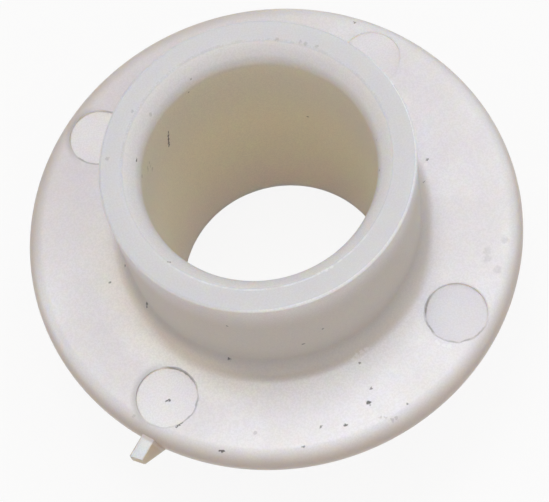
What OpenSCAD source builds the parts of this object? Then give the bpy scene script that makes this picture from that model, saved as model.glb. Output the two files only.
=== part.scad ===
// Flanged bushing moulded in one piece: a straight sleeve with a round collar at mid-length.
// Sizes are in millimetres. The bore runs along Z and the lower end face stands on Z = 0.

/* [Sleeve] */

// Radius of the bore that runs on the shaft
bore_r = 9.525; // [4:0.005:30]

// Wall between the bore and the outside of the sleeve
sleeve_wall = 3.175; // [2:0.005:8]

// Length of sleeve that stands above the collar
upper_len = 12.5; // [6:0.1:60]

// Length of sleeve that stands below the collar
lower_len = 12.5; // [6:0.1:60]

// Round on the outer edge of each end face
rim_round = 0.3; // [0.1:0.05:0.6]

/* [Bore mouths] */

// Width of the lead-in chamfer at each end of the bore
mouth_w = 1.3; // [0.4:0.025:3]

// Radius of the soft blend from the chamfer into the bore wall
mouth_blend = 1.5; // [0.4:0.1:4]

// Round between each end face and its chamfer
mouth_round = 0.25; // [0.1:0.05:0.5]

/* [Collar] */

// Reach of the collar beyond the outside of the sleeve
collar_reach = 8.65; // [8:0.05:40]

// Thickness of the collar
collar_t = 3; // [1.5:0.1:10]

// Round on the upper and lower edges of the collar
collar_round = 1.4; // [0.3:0.05:4]

// Fillet where the sleeve meets each face of the collar
foot_r = 1.2; // [0.3:0.05:2]

/* [Ejector marks] */

// Number of ejector-pin marks around the upper face of the collar
mark_n = 4; // [2:1:8]

// Radius of each ejector-pin mark
mark_r = 2.6; // [1:0.05:2.8]

// Distance from the collar's edge in to the middle of each mark
mark_inset = 3.65; // [3.2:0.05:4.2]

// Depth of each mark below the collar's face
mark_depth = 0.2; // [0.05:0.05:0.5]

// Angle of the first mark
mark_angle = 45; // [0:1:359]

/* [Gate stub] */

// Width of the stub left where the gate was cut
gate_w = 1.15; // [0.6:0.05:4]

// Height of the stub
gate_t = 1.4; // [0.4:0.1:3]

// Reach of the stub beyond the collar's edge
gate_len = 2; // [0.3:0.1:6]

// Slant of the cut across the tip of the stub
gate_slant = 0.2; // [0:0.05:1]

// Spread of the stub's lower edge, on one side, where it runs into the collar
gate_flare = 0.85; // [0.1:0.05:1.5]

// Angle of the stub around the collar
gate_angle = 225.5; // [0:0.5:359.5]

/* [Hidden] */

$fn = 96;

nylon_colour = [0.88, 0.87, 0.86];

// overlap that keeps joined and cut shapes clean
lap = 0.2;

// narrowest flat left on an end face or on a collar edge
land = 0.2;

sleeve_r = bore_r + sleeve_wall;
collar_r = sleeve_r + collar_reach;
collar_z0 = lower_len;
collar_z1 = lower_len + collar_t;
total_len = collar_z1 + upper_len;

// the chamfer leaves a flat on the end face and the collar keeps a narrow parting land
mouth = min(mouth_w, sleeve_wall - rim_round - mouth_round - land);
edge_r = min(collar_round, (collar_t - land) / 2);

half_turn = cos(45);
blend_t = mouth_blend * tan(22.5);
round_t = mouth_round * tan(22.5);
blend_x = bore_r + mouth_blend;
blend_y = -mouth - blend_t;
round_x = bore_r + mouth + round_t;
mark_pitch_r = collar_r - mark_inset;
gate_h = min(gate_t, collar_t - 2 * land);
gate_z = (collar_z0 + collar_z1 - gate_h) / 2;
gate_root_r = collar_r - edge_r - lap;
gate_tip_r = collar_r + gate_len;

// quarter round taken off an outer corner that points to +X and +Y
module corner_cut(r) {
    difference() {
        translate([-r, -r]) square(r + lap);
        translate([-r, -r]) circle(r);
    }
}

// quarter fillet that fills an inner corner opening to +X and +Y
module corner_fill(r) {
    difference() {
        translate([-lap, -lap]) square(r + lap);
        translate([r, r]) circle(r);
    }
}

// lead-in taken out of the bore below an end face on Y = 0
module mouth_cut() {
    polygon([
        [bore_r - lap, -mouth - lap],
        [bore_r + mouth + lap, lap],
        [bore_r - lap, lap]
    ]);
    difference() {
        polygon([
            [blend_x, blend_y],
            [bore_r - lap, blend_y],
            [bore_r - lap, lap - mouth],
            [bore_r + (blend_t - lap) * half_turn, (blend_t + lap) * half_turn - mouth]
        ]);
        translate([blend_x, blend_y]) circle(mouth_blend);
    }
    difference() {
        polygon([
            [round_x, -mouth_round],
            [bore_r + mouth - (round_t + lap) * half_turn, (lap - round_t) * half_turn],
            [bore_r + mouth - lap, lap],
            [round_x, lap]
        ]);
        translate([round_x, -mouth_round]) circle(mouth_round);
    }
}

// everything taken off one end of the sleeve, with its face on Y = 0
module end_cut() {
    mouth_cut();
    translate([sleeve_r, 0]) corner_cut(rim_round);
}

// half section of the bushing, radius along X and height along Y
module section() {
    difference() {
        union() {
            translate([bore_r, 0]) square([sleeve_wall, total_len]);
            translate([sleeve_r - lap, collar_z0]) square([collar_reach + lap, collar_t]);
            translate([sleeve_r, collar_z1]) corner_fill(foot_r);
            translate([sleeve_r, collar_z0]) mirror([0, 1]) corner_fill(foot_r);
        }
        translate([0, total_len]) end_cut();
        mirror([0, 1]) end_cut();
        translate([collar_r, collar_z1]) corner_cut(edge_r);
        translate([collar_r, collar_z0]) mirror([0, 1]) corner_cut(edge_r);
    }
}

// plan of the gate stub along +X, with one side spreading towards the collar
module gate_plan() {
    polygon([
        [gate_root_r, -gate_w / 2],
        [gate_tip_r, -gate_w / 2],
        [gate_tip_r - gate_slant, gate_w / 2],
        [collar_r, gate_w / 2 + gate_flare],
        [gate_root_r, gate_w / 2 + gate_flare]
    ]);
}

// slope that takes the spreading side down from the stub's top edge
module gate_slope() {
    translate([gate_root_r - lap, gate_w / 2, gate_h])
        rotate([-atan2(gate_h, gate_flare + lap), 0, 0])
            translate([0, -lap, 0])
                cube([gate_tip_r - gate_root_r + 2 * lap, 2 * (gate_h + gate_flare), gate_h + gate_flare]);
}

// stub left on the collar's edge
module gate_stub() {
    translate([0, 0, gate_z])
        rotate(gate_angle)
            difference() {
                linear_extrude(gate_h) gate_plan();
                gate_slope();
            }
}

// shallow recesses left by the ejector pins
module pin_marks() {
    for (i = [0 : mark_n - 1]) {
        rotate(mark_angle + i * 360 / mark_n)
            translate([mark_pitch_r, 0, collar_z1 - mark_depth])
                cylinder(r = mark_r, h = mark_depth + lap);
    }
}

module bushing() {
    color(nylon_colour)
        difference() {
            union() {
                rotate_extrude() section();
                gate_stub();
            }
            pin_marks();
        }
}

bushing();
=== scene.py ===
import math

import bpy
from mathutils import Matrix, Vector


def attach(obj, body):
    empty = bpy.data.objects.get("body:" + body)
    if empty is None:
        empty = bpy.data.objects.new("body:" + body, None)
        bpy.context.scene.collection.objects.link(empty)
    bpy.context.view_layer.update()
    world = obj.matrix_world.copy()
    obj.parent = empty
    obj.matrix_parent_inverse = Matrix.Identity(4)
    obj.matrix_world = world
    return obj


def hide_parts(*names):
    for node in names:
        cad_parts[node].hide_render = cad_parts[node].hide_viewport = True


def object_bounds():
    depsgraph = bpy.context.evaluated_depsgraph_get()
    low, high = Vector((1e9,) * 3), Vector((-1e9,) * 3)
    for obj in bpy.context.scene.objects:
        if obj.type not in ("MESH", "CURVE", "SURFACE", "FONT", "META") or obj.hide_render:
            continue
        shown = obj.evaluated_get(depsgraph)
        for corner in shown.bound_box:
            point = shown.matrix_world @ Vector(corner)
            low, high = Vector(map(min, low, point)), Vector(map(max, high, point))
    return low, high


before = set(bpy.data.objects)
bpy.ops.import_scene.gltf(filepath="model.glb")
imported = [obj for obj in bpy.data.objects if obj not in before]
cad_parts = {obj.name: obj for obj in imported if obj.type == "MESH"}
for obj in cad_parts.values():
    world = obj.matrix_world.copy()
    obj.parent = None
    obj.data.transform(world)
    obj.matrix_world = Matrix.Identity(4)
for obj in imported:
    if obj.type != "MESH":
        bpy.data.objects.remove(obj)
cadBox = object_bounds()
mm = 0.001
closeBy = 0.002  # millimetres within which two places count as one

# sizes of the moulding in millimetres, as in the solid
bushing = {
    "boreR": 9.525,
    "sleeveR": 12.7,
    "length": 28.0,
    "collarR": 21.35,
    "collarLow": 12.5,
    "collarTop": 15.5,
    "collarRound": 1.4,
    "footR": 1.2,
    "rimRound": 0.3,
    "mouth": 1.3,
    "mouthBlend": 1.5,
    "mouthRound": 0.25,
    "steps": {"mouthBlend": 10, "mouthRound": 3, "rimRound": 5, "footR": 10, "collarRound": 14},
    "spinSteps": 288,
    "sharpAngle": 35,
    "normalWeight": 60,
}


def clearSelection():
    if bpy.context.object and bpy.context.object.mode != "OBJECT":
        bpy.ops.object.mode_set(mode="OBJECT")
    bpy.ops.object.select_all(action="DESELECT")


def useOnly(obj):
    clearSelection()
    obj.select_set(True)
    bpy.context.view_layer.objects.active = obj


def pickPoints(obj, test):
    # leaves edit mode on with just the wanted points selected
    bpy.ops.object.mode_set(mode="EDIT")
    bpy.ops.mesh.select_mode(type="VERT")
    bpy.ops.mesh.select_all(action="DESELECT")
    bpy.ops.object.mode_set(mode="OBJECT")
    for point in obj.data.vertices:
        point.select = bool(test(point.co / mm))
    bpy.ops.object.mode_set(mode="EDIT")


def near(a, b):
    return abs(a - b) < closeBy


def pickCorners(obj, x, heights):
    pickPoints(obj, lambda p: near(p.x, x) and any(near(p.z, h) for h in heights))


def roundCorner(obj, x, heights, offset, segments):
    pickCorners(obj, x, heights)
    bpy.ops.mesh.bevel(offset_type="ABSOLUTE", offset=offset * mm, segments=segments,
                       profile=0.5, affect="VERTICES")
    bpy.ops.object.mode_set(mode="OBJECT")


def applyModifier(obj, kind, **settings):
    useOnly(obj)
    modifier = obj.modifiers.new(kind.lower(), kind)
    for name, value in settings.items():
        setattr(modifier, name, value)
    bpy.ops.object.modifier_apply(modifier=modifier.name)


def resizeAndApply(value):
    # sizes the active primitive in edit mode and puts its place in its mesh
    bpy.ops.object.mode_set(mode="EDIT")
    bpy.ops.transform.resize(value=value)
    bpy.ops.object.mode_set(mode="OBJECT")
    bpy.ops.object.transform_apply(location=True, rotation=True, scale=True)


def drawSection(b):
    # half section on the XZ plane: the sleeve's wall, with the collar drawn out of its side
    clearSelection()
    wall = b["sleeveR"] - b["boreR"]
    middle = ((b["boreR"] + wall / 2) * mm, 0, b["length"] / 2 * mm)
    bpy.ops.mesh.primitive_plane_add(size=mm, location=middle, rotation=(math.pi / 2, 0, 0))
    body = bpy.context.object
    body.name = "nylonBushing"
    resizeAndApply((wall, 1, b["length"]))
    levels = (b["collarLow"], b["collarTop"])
    for height in levels:
        bpy.ops.object.mode_set(mode="EDIT")
        bpy.ops.mesh.select_all(action="SELECT")
        bpy.ops.mesh.bisect(plane_co=(0, 0, height * mm), plane_no=(0, 0, 1))
    pickCorners(body, b["sleeveR"], levels)
    reach = (b["collarR"] - b["sleeveR"]) * mm
    bpy.ops.mesh.extrude_region_move(TRANSFORM_OT_translate={"value": (reach, 0, 0)})
    bpy.ops.mesh.select_mode(type="FACE")
    bpy.ops.mesh.select_all(action="SELECT")
    bpy.ops.mesh.dissolve_faces()
    bpy.ops.object.mode_set(mode="OBJECT")
    return body


def roundSection(body, b):
    ends = (0, b["length"])
    levels = (b["collarLow"], b["collarTop"])
    chamferFeet = (b["mouth"], b["length"] - b["mouth"])
    tangent = math.tan(math.pi / 8)  # tangent length on a 45 degree turn, for a radius of 1
    steps = b["steps"]
    roundCorner(body, b["boreR"], ends, b["mouth"], 1)
    roundCorner(body, b["boreR"], chamferFeet, b["mouthBlend"] * tangent, steps["mouthBlend"])
    roundCorner(body, b["boreR"] + b["mouth"], ends, b["mouthRound"] * tangent, steps["mouthRound"])
    roundCorner(body, b["sleeveR"], ends, b["rimRound"], steps["rimRound"])
    roundCorner(body, b["sleeveR"], levels, b["footR"], steps["footR"])
    roundCorner(body, b["collarR"], levels, b["collarRound"], steps["collarRound"])


def spinSection(b):
    # only the outline goes round, so that no face is left inside
    bpy.ops.object.mode_set(mode="EDIT")
    bpy.ops.mesh.select_all(action="SELECT")
    bpy.ops.mesh.delete(type="ONLY_FACE")
    bpy.ops.mesh.select_mode(type="VERT")
    bpy.ops.mesh.select_all(action="SELECT")
    bpy.ops.mesh.spin(steps=b["spinSteps"], angle=2 * math.pi, center=(0, 0, 0), axis=(0, 0, 1))
    bpy.ops.mesh.select_all(action="SELECT")
    bpy.ops.mesh.remove_doubles(threshold=closeBy * mm)
    bpy.ops.mesh.normals_make_consistent(inside=False)
    bpy.ops.object.mode_set(mode="OBJECT")


body = drawSection(bushing)
roundSection(body, bushing)
spinSection(bushing)
print("bushing spun:", len(body.data.vertices), "points")

# marks left by the ejector pins
marks = {
    "count": 4,
    "first": 45,
    "pitchR": 17.7,
    "radius": 2.6,
    "depth": 0.2,
    "lip": 0.05,
    "lipSteps": 3,
    "sides": 128,
}


def cutMarks(obj, m, top):
    clearSelection()
    low = top - m["depth"]
    cutters = []
    for i in range(m["count"]):
        angle = math.radians(m["first"] + i * 360 / m["count"])
        place = (m["pitchR"] * math.cos(angle) * mm, m["pitchR"] * math.sin(angle) * mm, top * mm)
        bpy.ops.mesh.primitive_cylinder_add(vertices=m["sides"], radius=m["radius"] * mm,
                                            depth=2 * m["depth"] * mm, location=place)
        pin = bpy.context.object
        bpy.ops.object.transform_apply(location=True, rotation=True, scale=True)
        pickPoints(pin, lambda p: near(p.z, low))
        bpy.ops.mesh.bevel(offset=m["lip"] * mm, segments=m["lipSteps"], affect="EDGES")
        bpy.ops.object.mode_set(mode="OBJECT")
        cutters.append(pin)
    useOnly(cutters[0])
    for pin in cutters:
        pin.select_set(True)
    bpy.ops.object.join()
    cutter = bpy.context.object
    applyModifier(obj, "BOOLEAN", operation="DIFFERENCE", object=cutter, solver="EXACT")
    bpy.data.objects.remove(cutter)


# stub of the edge gate, cut off at a slant and flared down one side
gate = {
    "width": 1.15,
    "height": 1.4,
    "reach": 2.0,
    "slant": 0.2,
    "flare": 0.85,
    "angle": 225.5,
    "root": 19.75,
    "soft": 0.06,
    "softSteps": 2,
    "softFrom": 0.6,  # soft edges start this far inside the collar's edge
}


def addGate(obj, g, b):
    clearSelection()
    tip = b["collarR"] + g["reach"]
    middle = (b["collarLow"] + b["collarTop"]) / 2
    bpy.ops.mesh.primitive_cube_add(size=mm, location=((g["root"] + tip) / 2 * mm, 0, middle * mm))
    stub = bpy.context.object
    resizeAndApply((tip - g["root"], g["width"], g["height"]))
    # slanted cut across the tip
    pickPoints(stub, lambda p: near(p.x, tip) and p.y > 0)
    bpy.ops.transform.translate(value=(-g["slant"] * mm, 0, 0))
    bpy.ops.object.mode_set(mode="OBJECT")
    # lower edge of one side spreads towards the collar
    flareStart = tip - g["slant"]
    spread = g["flare"] * (flareStart - g["root"]) / (flareStart - b["collarR"])
    pickPoints(stub, lambda p: near(p.x, g["root"]) and p.y > 0 and p.z < middle)
    bpy.ops.transform.translate(value=(0, spread * mm, 0))
    # soft edges, but none on the hidden root
    softStart = b["collarR"] - g["softFrom"]
    bpy.ops.mesh.select_all(action="SELECT")
    bpy.ops.mesh.bisect(plane_co=(softStart * mm, 0, 0), plane_no=(1, 0, 0))
    bpy.ops.object.mode_set(mode="OBJECT")
    pickPoints(stub, lambda p: p.x > softStart - closeBy)
    bpy.ops.mesh.bevel(offset=g["soft"] * mm, segments=g["softSteps"], affect="EDGES")
    bpy.ops.mesh.select_all(action="SELECT")
    bpy.ops.mesh.normals_make_consistent(inside=False)
    bpy.ops.object.mode_set(mode="OBJECT")
    stub.rotation_euler = (0, 0, math.radians(g["angle"]))
    bpy.ops.object.transform_apply(location=True, rotation=True, scale=True)
    applyModifier(obj, "BOOLEAN", operation="UNION", object=stub, solver="EXACT")
    bpy.data.objects.remove(stub)


addGate(body, gate, bushing)
cutMarks(body, marks, bushing["collarTop"])
useOnly(body)
bpy.ops.object.shade_smooth_by_angle(angle=math.radians(bushing["sharpAngle"]))
applyModifier(body, "WEIGHTED_NORMAL", keep_sharp=True, weight=bushing["normalWeight"])
print("bushing finished:", len(body.data.polygons), "faces")


class NodeBench:
    # adds the nodes of one material; masks go by the named values in self.at
    def __init__(self, tree):
        self.nodes = tree.nodes
        self.links = tree.links
        self.at = {}

    def put(self, kind, inputs=None, **settings):
        node = self.nodes.new(kind)
        for name, value in settings.items():
            setattr(node, name, value)
        for socket, value in (inputs or {}).items():
            if isinstance(value, bpy.types.NodeSocket):
                self.links.new(value, node.inputs[socket])
            else:
                node.inputs[socket].default_value = value
        return node.outputs

    def calc(self, operation, *values):
        return self.put("ShaderNodeMath", dict(enumerate(values)), operation=operation)[0]

    def chain(self, operation, values):
        total = values[0]
        for value in values[1:]:
            total = self.calc(operation, total, value)
        return total

    def times(self, *values):
        return self.chain("MULTIPLY", values)

    def most(self, *values):
        return self.chain("MAXIMUM", values)

    def fade(self, value, start, stop, share=1, rest=0):
        # goes softly from rest at the start to share at the stop
        return self.put("ShaderNodeMapRange", {0: value, 1: start, 2: stop, 3: rest, 4: share},
                        interpolation_type="SMOOTHSTEP")[0]

    def mask(self, *spans):
        # product of fades, each given as a name in self.at and fade's numbers
        return self.times(*[self.fade(self.at[name], *limits) for name, *limits in spans])

    def tint(self, share, first, second):
        return self.put("ShaderNodeMix", {0: share, 6: first, 7: second}, data_type="RGBA")[2]

    def blend(self, share, first, second):
        return self.put("ShaderNodeMix", {0: share, 2: first, 3: second}, data_type="FLOAT")[0]

    def vector(self, operation, first, second):
        return self.put("ShaderNodeVectorMath", {0: first, 1: second}, operation=operation)[0]

    def scaled(self, vector, factor):
        return self.put("ShaderNodeVectorMath", {0: vector, 3: factor}, operation="SCALE")[0]

    def measure(self, operation, first, second=(0, 0, 0)):
        return self.put("ShaderNodeVectorMath", {0: first, 1: second}, operation=operation)["Value"]

    def cloud(self, vector, scale, detail):
        return self.put("ShaderNodeTexNoise", {"Vector": vector, "Scale": scale, "Detail": detail})


# off-white nylon: each tone's colour and where it lies, by fades from none to full in millimetres;
# the entries under tones are all painted shade or painted light, not the nylon's own colour
# out: outside the sleeve's wall, inward: inside the collar's edge, depth: under the nearer end face,
# south: from 1 on the far side to -1 on the near side, lower: painted colours further down, by height
nylon = {
    "light": (0.82, 0.80, 0.83, 1),
    "dull": (0.775, 0.75, 0.77, 1),
    "patchy": ("patches", 0.3, 0.7),
    "tones": {
        "farShade": {"colour": (0.70, 0.66, 0.675, 1), "where": [("far", 8, 17, 0.75)]},
        # painted light on the collar's face beside the foot, strongest on the near side, lifting the shade
        # the sleeve casts there
        "footPaintedLight": {"colour": (0.93, 0.915, 0.94, 1), "where": [
            ("out", 1.4, 1.9, 0.8), ("out", 4.8, 1.9), ("y", -3, -10, 1, 0.1), ("x", 1, 9, 0.25, 1)]},
        # painted shade in the bore: tan, with a painted yellow glow of light through the wall lower down,
        # pinker still lower
        "bore": {"colour": (0.845, 0.805, 0.70, 1),
                 "lower": [((0.92, 0.865, 0.705, 1), 24, 14), ((0.93, 0.83, 0.745, 1), 12, 3)],
                 "where": [("out", -2.4, -3.1), ("depth", 1.1, 2.6)]},
        # painted shade on the sleeve's outer wall: tan, strongest on the near side
        "wall": {"colour": (0.70, 0.65, 0.59, 1), "where": [
            ("out", -0.5, -0.05), ("footOut", 1.9, 1.1), ("y", 7, -2, 1, 0.45), ("depth", 0.6, 4.5)]},
        # painted glow on the collar's face by the foot on the left, as of light coming through the nylon
        "glow": {"colour": (0.92, 0.85, 0.725, 1), "where": [
            ("out", 0.2, 0.8), ("out", 4.1, 1.3), ("left", 9, 13.5, 0.45), ("depth", 10, 11.5)]},
        # painted light on the chamfer, keeping it pale against the shade of its slope
        "mouth": {"colour": (0.785, 0.765, 0.785, 1), "where": [
            ("depth", 1.6, 1.0, 0.95), ("out", -1.1, -1.5)]},
        # painted shade on the end face, darker than the collar's face of the same nylon
        "rim": {"colour": (0.655, 0.65, 0.68, 1), "where": [("depth", 0.14, 0.03, 0.9)]},
        # painted shade and a painted brown reflection on the collar's rounded edge, widest on the near side
        "edge": {"colour": (0.52, 0.45, 0.40, 1), "where": [
            ("edgeShade", 1, 0, 0.72), ("inward", -0.35, -0.05)]},
        # painted shade on the collar's edge on the far left
        "farEdgeShade": {"colour": (0.52, 0.45, 0.40, 1), "where": [
            ("inward", 1.75, 0.45, 0.6), ("farLeft", 10, 18)]},
    },
    # sides of the part where painted shade, painted glow and painted glints lie, as directions in X and Y
    "sides": {"far": (-0.45, 0.89), "farLeft": (-0.6, 0.8), "left": (-0.9, -0.43),
              "near": (-0.1, -1.0), "nearRight": (0.75, -0.66)},
    "footSpread": ("south", -0.3, -0.75, 0, 0.65),
    "edgeShadeReach": ("south", -0.2, -0.8, 1.25, 0.75),
    "edgeShadeFull": 0.05,
    "clouds": {"patches": (0.16, 3), "mottle": (1.1, 5), "grain": (7.0, 3)},
    "fleck": (0.45, 0.43, 0.41, 1),
    "flecks": ("grain", 0.35, 0.65, 0.15),
    "collarRough": ("speckle", 0.7, 1.3, 0.35, 0.30),
    "sleeveRough": 0.52,
    "onSleeve": ("out", 1.5, 0.3),
    "scatter": 1.0,
    "scatterScale": 0.004,
    "scatterTint": (1.0, 0.7, 0.35),
    "ior": 1.53,
    "bump": {"mottle": 0.4, "grain": 0.35},
    "bumpDepth": 0.00002,
    "bumpStrength": 0.12,
}

# painted glints: pale highlights on the rim's outer edge and on the end face, and on the near side of a
# fine line where the chamfer starts, which is grey on the far side
glintsAndGreyLine = {
    "pale": (0.98, 0.98, 0.99, 1),
    "rough": 0.25,
    "rimEdgeGlint": [("out", -0.22, -0.12), ("depth", 0.28, 0.2, 0.95), ("nearRight", 1, 8, 1, 0.05)],
    "glintMiddle": (299, 11.3),
    "glints": [("fromGlint", 5.5, 1.5), ("grain", 0.58, 0.68, 0.3), ("depth", 0.1, 0.03)],
    "lineGap": 0.06,
    "line": [("fromLine", 0.13, 0.04), ("depth", 0.22, 0.12), ("speckle", 0.9, 1.1, 1, 0.15)],
    "paleSide": ("near", 5, 10, 0.45),
    "greySide": ("y", -2, 4, 0.2),
    "grey": (0.33, 0.31, 0.30, 1),
}

# gate stub, with painted shade in brown on its cut sides
gateLook = {
    "top": (0.99, 0.90, 0.85, 1),
    "edge": (0.36, 0.26, 0.22, 1),
    # painted shade on the stub's faces that don't face up
    "side": (0.57, 0.50, 0.45, 1),
    "rough": 0.5,
    "where": ("inward", -0.05, -0.35),
    "edges": [("fromGateLow", 0.18, 0.04, 0.7), ("fromGateHigh", 0.15, 0, 0.35)],
    "shadedSides": ("facing", 0.45, 0.3),
}

# ejector marks: pale floors, but painted shade on the right mark's floor; dirty rims that are darker on
# some sides, where painted shade of the recess wall adds to the dirt; a grey crescent of painted shade by
# some
markLook = {
    "floor": (0.85, 0.83, 0.85, 1),
    "floorRightShade": (0.70, 0.69, 0.73, 1),
    "floorShare": 0.8,
    # one dark colour for the rims' dirt and for the painted shade of the arcs and crescents
    "dirt": (0.33, 0.31, 0.30, 1),
    "onTop": ("aboveCollar", -0.5, -0.3),
    "inside": ("outOfPin", 0, -0.1),
    "right": ("x", -1, 1),
    "back": ("y", -1, 1),
    "rim": (0.15, 0.04),
    "rimWander": ("mottle", 0.3, 0.7, 0.06, -0.06),
    "rimBreaks": [("mottle", 0.36, 0.58, 1, 0.45), ("farRight", 12, 16, 0.15, 1)],
    "rimShare": 0.26,
    "arcShare": 0.62,
    "arcs": {
        "right": [((-1, 0), (1.0, 2.4)), ((0, -1), (1.3, 2.5))],
        "nearLeft": [((0.75, 0.66), (1.5, 2.5)), ((0.72, -0.69), (2.0, 2.55, 0.9))],
        "farLeft": [((-0.5, -0.86), (1.2, 2.4))],
    },
    "crescentSide": (-0.85, 0.53),
    "crescent": (0.4, 2.4, 0.55),
    "crescentReach": ("outOfPin", 0.6, -0.1),
    "crescentRight": 0.15,
}

# dirt, scuffed spots and specks, with painted glints among the scuffed spots: angle in degrees, then height
# on a wall or radius on a face
wearAndGlints = {
    "dirt": (0.05, 0.045, 0.04, 1),
    "dirtRough": 0.8,
    "scuffAndGlint": (0.90, 0.89, 0.90, 1),
    "ragged": {"cloud": (4.0, 2), "amount": 0.45},
    "speckCore": 0.5,
    "scratchCore": 0.4,
    "specks": {
        "small": {"radius": 0.15, "share": 0.65, "places": {
            "bore": [(54.5, 17.3), (113, 25.7), (164, 25.8)],
            "end": [(109, 9.8), (215.5, 10.7), (340.5, 9.6), (356.5, 9.6)],
            "sleeve": [(242.5, 24.2), (268, 19.1), (276, 21.1)],
            "collar": [(6, 14.4), (53.5, 20.4), (181, 13.1), (184.5, 14.8), (262, 20.1),
                       (267, 18.7), (283, 17.2), (284, 14.8), (288.5, 19.9), (358, 13.4)]}},
        "medium": {"radius": 0.22, "share": 0.8, "places": {"collar": [(239, 12.9), (273, 19.2)]}},
        "large": {"radius": 0.27, "share": 0.85, "places": {"collar": [(280.5, 18.2)]}},
        "faint": {"radius": 0.2, "share": 0.22, "places": {
            "bore": [(151.5, 22.5), (152, 23.3), (152, 23.9), (155, 24.1), (155.5, 23.8)],
            "end": [(48.5, 11.1), (53.5, 11.0), (56, 11.1), (66, 10.9), (135.5, 10.0), (139, 11.2),
                    (161, 12.0)],
            "collar": [(220.5, 20.4), (250.5, 18.7), (281.5, 19.7), (282.5, 20.0), (283.5, 20.4),
                       (284.5, 20.4)]}},
        "smudge": {"radius": 0.45, "share": 0.12, "places": {
            "collar": [(329.5, 19.6), (332, 18.6), (334, 18.5), (337.5, 19.8)]}},
    },
    "scratches": {"width": 0.13, "share": 0.85, "runs": {
        "bore": [[(131, 23.0), (132.5, 21.9), (134, 21.0)]],
        "end": [[(158.5, 9.8), (159.5, 9.8)]],
        "collar": [[(199.5, 12.8), (200.5, 13.0)], [(242.5, 20.5), (243.5, 20.5)],
                   [(231, 19.6), (231.5, 19.3), (232, 19.0)]],
        "recess": [[(225.5, 18.0), (226, 17.8)]]}},
    # pale scuffed spots, some of them painted glints, on a nick by the foot and beside the right mark
    "scuffsAndGlints": {"radius": 0.22, "share": 0.45, "places": {
        "end": [(281, 10.8), (283, 10.8), (284.5, 10.9), (287, 10.9)],
        "collar": [(4.5, 14.1), (283, 14.2), (284.5, 14.1), (286.5, 14.1), (288.5, 14.1),
                   (305, 17.7), (305, 18.0), (305.5, 18.4), (306, 18.8)]}},
}


def surfacePoint(surface, angle, reach):
    # reach is a height on the bore and the sleeve, and a radius on the other surfaces
    b = bushing
    radius = reach
    if surface in ("bore", "sleeve"):
        radius, height = b[surface + "R"], reach
    elif surface == "end":
        height = b["length"] - max(0, b["boreR"] + b["mouth"] - reach)
    elif surface == "recess":
        height = b["collarTop"] - marks["depth"]
    else:
        foot = max(0, b["sleeveR"] + b["footR"] - reach)
        edge = max(0, reach - b["collarR"] + b["collarRound"])
        height = b["collarTop"] + b["footR"] - math.sqrt(b["footR"] ** 2 - foot ** 2)
        height -= b["collarRound"] - math.sqrt(b["collarRound"] ** 2 - edge ** 2)
    turn = math.radians(angle)
    return radius * math.cos(turn), radius * math.sin(turn), height


def readPlaces(bench, b, n):
    # what the masks go by: place on the part in millimetres, and noise
    at = bench.at
    spot = bench.scaled(bench.put("ShaderNodeTexCoord")["Object"], 1 / mm)
    at["spot"] = spot
    at["x"], at["y"], at["z"] = bench.put("ShaderNodeSeparateXYZ", {0: spot})
    radius = bench.measure("LENGTH", bench.put("ShaderNodeCombineXYZ", {0: at["x"], 1: at["y"]})[0])
    half = b["length"] / 2
    fromMiddle = bench.calc("ABSOLUTE", bench.calc("SUBTRACT", at["z"], half))
    at["out"] = bench.calc("SUBTRACT", radius, b["sleeveR"])
    at["inward"] = bench.calc("SUBTRACT", b["collarR"], radius)
    at["depth"] = bench.calc("SUBTRACT", half, fromMiddle)
    at["aboveCollar"] = bench.calc("SUBTRACT", at["z"], b["collarTop"])
    at["south"] = bench.calc("DIVIDE", at["y"], radius)
    at["facing"] = bench.put("ShaderNodeSeparateXYZ", {0: bench.put("ShaderNodeNewGeometry")["Normal"]})[2]
    for name, (east, north) in n["sides"].items():
        at[name] = bench.measure("DOT_PRODUCT", spot, (east, north, 0))
    for name, (scale, detail) in n["clouds"].items():
        at[name] = bench.cloud(spot, scale, detail)[0]
    at["speckle"] = bench.calc("ADD", at["mottle"], at["grain"])


def partTones(bench, n):
    at = bench.at
    # the wall's painted shade reaches further out over the foot on the near side
    at["footOut"] = bench.calc("ADD", at["out"], bench.mask(n["footSpread"]))
    # width of the edge's painted shade, wider on the near side
    edgeShadeWidth = bench.calc("SUBTRACT", bench.mask(n["edgeShadeReach"]), n["edgeShadeFull"])
    at["edgeShade"] = bench.calc("DIVIDE", bench.calc("SUBTRACT", at["inward"], n["edgeShadeFull"]), edgeShadeWidth)
    colour = bench.tint(bench.mask(n["patchy"]), n["dull"], n["light"])
    for tone in n["tones"].values():
        paint = tone["colour"]
        for deeper, start, stop in tone.get("lower", ()):
            paint = bench.tint(bench.fade(at["z"], start, stop), paint, deeper)
        colour = bench.tint(bench.mask(*tone["where"]), colour, paint)
    return colour


def glintsAndGreyLineTone(bench, look, b, colour):
    at = bench.at
    chamferStart = b["boreR"] + b["mouth"] + look["lineGap"] - b["sleeveR"]
    at["fromLine"] = bench.calc("ABSOLUTE", bench.calc("SUBTRACT", at["out"], chamferStart))
    at["fromGlint"] = bench.measure("DISTANCE", at["spot"], surfacePoint("end", *look["glintMiddle"]))
    # the fine line is a painted glint on the near side and grey on the far side
    paleLine = bench.mask(*look["line"], look["paleSide"])
    pale = bench.most(bench.mask(*look["rimEdgeGlint"]), bench.mask(*look["glints"]), paleLine)
    colour = bench.tint(bench.mask(*look["line"], look["greySide"]), colour, look["grey"])
    return bench.tint(pale, colour, look["pale"]), pale


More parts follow.
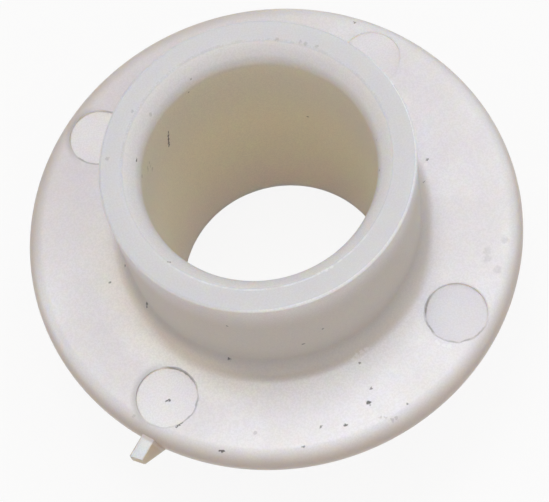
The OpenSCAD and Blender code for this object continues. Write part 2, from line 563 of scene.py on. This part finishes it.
def gateTone(bench, look, g, colour):
    turn = math.radians(g["angle"])
    half = g["width"] / 2
    across = bench.measure("DOT_PRODUCT", bench.at["spot"], (-math.sin(turn), math.cos(turn), 0))
    bench.at["fromGateLow"] = bench.calc("ADD", across, half)
    bench.at["fromGateHigh"] = bench.calc("SUBTRACT", half, across)
    paint = bench.tint(bench.most(*[bench.mask(edge) for edge in look["edges"]]), look["top"], look["edge"])
    paint = bench.tint(bench.mask(look["shadedSides"]), paint, look["side"])
    return bench.tint(bench.mask(look["where"]), colour, paint)


def markTone(bench, look, m, colour):
    at = bench.at
    # place about the middle of the nearest mark
    pitch = m["pitchR"] * math.cos(math.radians(m["first"]))
    offsets = [bench.calc("SUBTRACT", at[name], bench.times(bench.calc("SIGN", at[name]), pitch))
               for name in ("x", "y")]
    offset = bench.put("ShaderNodeCombineXYZ", dict(enumerate(offsets)))[0]
    fromPin = bench.measure("LENGTH", offset)
    at["outOfPin"] = bench.calc("SUBTRACT", fromPin, m["radius"])
    at["farRight"] = bench.calc("ADD", at["x"], at["y"])
    onTop = bench.mask(look["onTop"])
    inside = bench.times(onTop, bench.mask(look["inside"]))
    onRight = bench.mask(look["right"])
    onBack = bench.mask(look["back"])

    def toSide(side, limits):
        return bench.fade(bench.measure("DOT_PRODUCT", offset, (*side, 0)), *limits)

    # floors, plain on the hidden mark; painted shade on the right mark's floor
    rightShare = bench.blend(onBack, look["floorShare"], 0.0)
    floorShare = bench.times(inside, bench.blend(onRight, look["floorShare"], rightShare))
    colour = bench.tint(floorShare, colour, bench.tint(onRight, look["floor"], look["floorRightShade"]))

    # grey crescent of painted shade on the face outside a mark
    crescent = toSide(look["crescentSide"], look["crescent"])
    crescent = bench.times(crescent, bench.mask(look["crescentReach"]))
    crescent = bench.times(crescent, bench.blend(onRight, 1.0, look["crescentRight"]))
    crescent = bench.times(crescent, bench.calc("SUBTRACT", onTop, inside))

    # uneven, broken rim of dirt, with darker arcs where painted shade is added
    arcs = {name: bench.most(*[toSide(*arc) for arc in sides]) for name, sides in look["arcs"].items()}
    leftArc = bench.blend(onBack, arcs["nearLeft"], arcs["farLeft"])
    arc = bench.blend(onRight, leftArc, arcs["right"])
    arc = bench.calc("MULTIPLY_ADD", arc, look["arcShare"], look["rimShare"])
    fromRim = bench.calc("ABSOLUTE", bench.calc("ADD", at["outOfPin"], bench.mask(look["rimWander"])))
    rim = bench.times(bench.fade(fromRim, *look["rim"]), arc, bench.mask(*look["rimBreaks"]), onTop)
    # dirt and painted shade in one dark colour
    return bench.tint(bench.most(rim, crescent), colour, look["dirt"])


def spots(bench, group, core):
    gaps = []
    for surface, places in group["places"].items():
        for angle, reach in places:
            gaps.append(bench.measure("DISTANCE", bench.at["shaken"], surfacePoint(surface, angle, reach)))
    return bench.fade(bench.chain("MINIMUM", gaps), group["radius"], group["radius"] * core, group["share"])


def streak(bench, start, stop):
    # distance from a straight run between two places
    run = [q - p for p, q in zip(start, stop)]
    size = sum(v * v for v in run)
    fromStart = bench.vector("SUBTRACT", bench.at["shaken"], start)
    along = bench.measure("DOT_PRODUCT", fromStart, [v / size for v in run])
    foot = bench.scaled(run, bench.put("ShaderNodeClamp", {0: along})[0])
    return bench.measure("DISTANCE", fromStart, foot)


def streaks(bench, group, core):
    gaps = []
    for surface, runs in group["runs"].items():
        for run in runs:
            points = [surfacePoint(surface, angle, reach) for angle, reach in run]
            gaps += [streak(bench, start, stop) for start, stop in zip(points, points[1:])]
    return bench.fade(bench.chain("MINIMUM", gaps), group["width"], group["width"] * core, group["share"])


def dirtScuffsAndGlints(bench, w, colour):
    # places are shaken by noise, so that outlines come out ragged
    noise = bench.cloud(bench.at["spot"], *w["ragged"]["cloud"])["Color"]
    noiseMiddle = (0.5, 0.5, 0.5)
    shake = bench.scaled(bench.vector("SUBTRACT", noise, noiseMiddle), w["ragged"]["amount"])
    bench.at["shaken"] = bench.vector("ADD", bench.at["spot"], shake)
    # pale scuffed spots, some of them painted glints
    colour = bench.tint(spots(bench, w["scuffsAndGlints"], w["speckCore"]), colour, w["scuffAndGlint"])
    specks = [spots(bench, group, w["speckCore"]) for group in w["specks"].values()]
    dirt = bench.most(streaks(bench, w["scratches"], w["scratchCore"]), *specks)
    return bench.tint(dirt, colour, w["dirt"]), dirt


def nylonFinish(n):
    mat = bpy.data.materials.new("naturalNylon")
    mat.use_nodes = True
    bench = NodeBench(mat.node_tree)
    at = bench.at
    readPlaces(bench, bushing, n)
    colour = partTones(bench, n)
    colour, pale = glintsAndGreyLineTone(bench, glintsAndGreyLine, bushing, colour)
    colour = gateTone(bench, gateLook, gate, colour)
    colour = markTone(bench, markLook, marks, colour)
    colour = bench.tint(bench.mask(n["flecks"]), colour, n["fleck"])
    colour, dirt = dirtScuffsAndGlints(bench, wearAndGlints, colour)

    rough = bench.blend(bench.mask(n["onSleeve"]), bench.mask(n["collarRough"]), n["sleeveRough"])
    rough = bench.blend(bench.mask(gateLook["where"]), rough, gateLook["rough"])
    # painted glints are glossier
    rough = bench.blend(pale, rough, glintsAndGreyLine["rough"])
    rough = bench.most(rough, bench.times(dirt, wearAndGlints["dirtRough"]))
    height = bench.chain("ADD", [bench.times(at[name], share) for name, share in n["bump"].items()])
    bump = bench.put("ShaderNodeBump", {"Height": height, "Distance": n["bumpDepth"],
                                        "Strength": n["bumpStrength"]})

    shader = bench.nodes["Principled BSDF"]
    bench.links.new(colour, shader.inputs["Base Color"])
    bench.links.new(rough, shader.inputs["Roughness"])
    bench.links.new(bump["Normal"], shader.inputs["Normal"])
    shader.inputs["IOR"].default_value = n["ior"]
    shader.inputs["Subsurface Weight"].default_value = n["scatter"]
    shader.inputs["Subsurface Radius"].default_value = n["scatterTint"]
    shader.inputs["Subsurface Scale"].default_value = n["scatterScale"]
    return mat


body.data.materials.clear()
body.data.materials.append(nylonFinish(nylon))
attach(body, "root")
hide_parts("bushing")
print("nylon on:", len(body.data.materials[0].node_tree.nodes), "nodes")


def whiteRays(bench):
    # rays that find a white studio: the camera's, mirrored ones and those through glass
    rays = bench.put("ShaderNodeLightPath")
    return bench.most(*[rays[name] for name in ("Is Camera Ray", "Is Glossy Ray", "Is Transmission Ray")])


# pale floor that shows almost white and keeps a soft shadow
floorSet = {"size": 3.0, "colour": (0.74, 0.71, 0.68, 1), "rough": 0.9, "shown": 0.9}


def addFloor(f):
    clearSelection()
    bpy.ops.mesh.primitive_plane_add(size=f["size"], location=(0, 0, cadBox[0][2]))
    floor = bpy.context.object
    floor.name = "floor"
    mat = bpy.data.materials.new("paleFloor")
    mat.use_nodes = True
    bench = NodeBench(mat.node_tree)
    shader = bench.nodes["Principled BSDF"]
    shader.inputs["Base Color"].default_value = f["colour"]
    shader.inputs["Roughness"].default_value = f["rough"]
    white = bench.put("ShaderNodeEmission")[0]
    share = bench.times(whiteRays(bench), f["shown"])
    mix = bench.put("ShaderNodeMixShader", {0: share, 1: shader.outputs[0], 2: white})[0]
    bench.links.new(mix, bench.nodes["Material Output"].inputs["Surface"])
    floor.data.materials.append(mat)


addFloor(floorSet)

# soft studio light: places and sizes in metres, powers in watts
lamps = {
    "above": {"place": (0.02, -0.12, 0.49), "size": 0.70, "power": 1.0, "colour": (1, 1, 1)},
    "side": {"place": (-0.45, 0.02, 0.26), "size": 0.35, "power": 0.06, "colour": (1, 1, 1)},
    "window": {"place": (0.0, 0.11, 0.49), "size": 0.14, "power": 0.51, "colour": (0.94, 0.97, 1)},
    "sky": {"place": (0.2, 0.15, 0.43), "size": 0.2, "power": 0.27, "colour": (0.85, 0.93, 1)},
}
worldLight = 0.34


def addLamps(lampSet, target):
    for name, lamp in lampSet.items():
        data = bpy.data.lights.new(name + "Lamp", "AREA")
        data.size = lamp["size"]
        data.energy = lamp["power"]
        data.color = lamp["colour"]
        obj = bpy.data.objects.new(name + "Lamp", data)
        bpy.context.scene.collection.objects.link(obj)
        obj.location = lamp["place"]
        aim = [t - p for t, p in zip(target, lamp["place"])]
        flat = math.hypot(aim[0], aim[1])
        obj.rotation_euler = (math.atan2(flat, -aim[2]), 0, math.atan2(-aim[0], aim[1]))


def addWorld(strength):
    world = bpy.data.worlds.new("studio")
    bpy.context.scene.world = world
    world.use_nodes = True
    bench = NodeBench(world.node_tree)
    soft = bench.nodes["Background"]
    white = (1, 1, 1, 1)
    soft.inputs["Color"].default_value = white
    soft.inputs["Strength"].default_value = strength
    shown = bench.put("ShaderNodeBackground", {"Color": white, "Strength": 1.0})[0]
    mix = bench.put("ShaderNodeMixShader", {0: whiteRays(bench), 1: soft.outputs[0], 2: shown})[0]
    bench.links.new(mix, bench.nodes["World Output"].inputs["Surface"])


addLamps(lamps, (0, 0, bushing["length"] / 2 * mm))
addWorld(worldLight)

# camera at the photograph's angle: place in millimetres, turn in degrees
cameraSet = {
    "place": (-2.147, -60.483, 154.857),
    "turn": (21.8672, 5.6132, -15.3207),
    "lens": 116.39,
    "sensor": 36.0,
    "clipStart": 5.0,
}


def addCamera(c):
    data = bpy.data.cameras.new("photoCamera")
    data.sensor_fit = "HORIZONTAL"
    data.sensor_width = c["sensor"]
    data.lens = c["lens"]
    data.clip_start = c["clipStart"] * mm
    obj = bpy.data.objects.new("photoCamera", data)
    bpy.context.scene.collection.objects.link(obj)
    obj.location = [v * mm for v in c["place"]]
    obj.rotation_euler = [math.radians(v) for v in c["turn"]]
    bpy.context.scene.camera = obj


addCamera(cameraSet)
bpy.context.scene.view_settings.view_transform = "Standard"
print("lights and camera set")
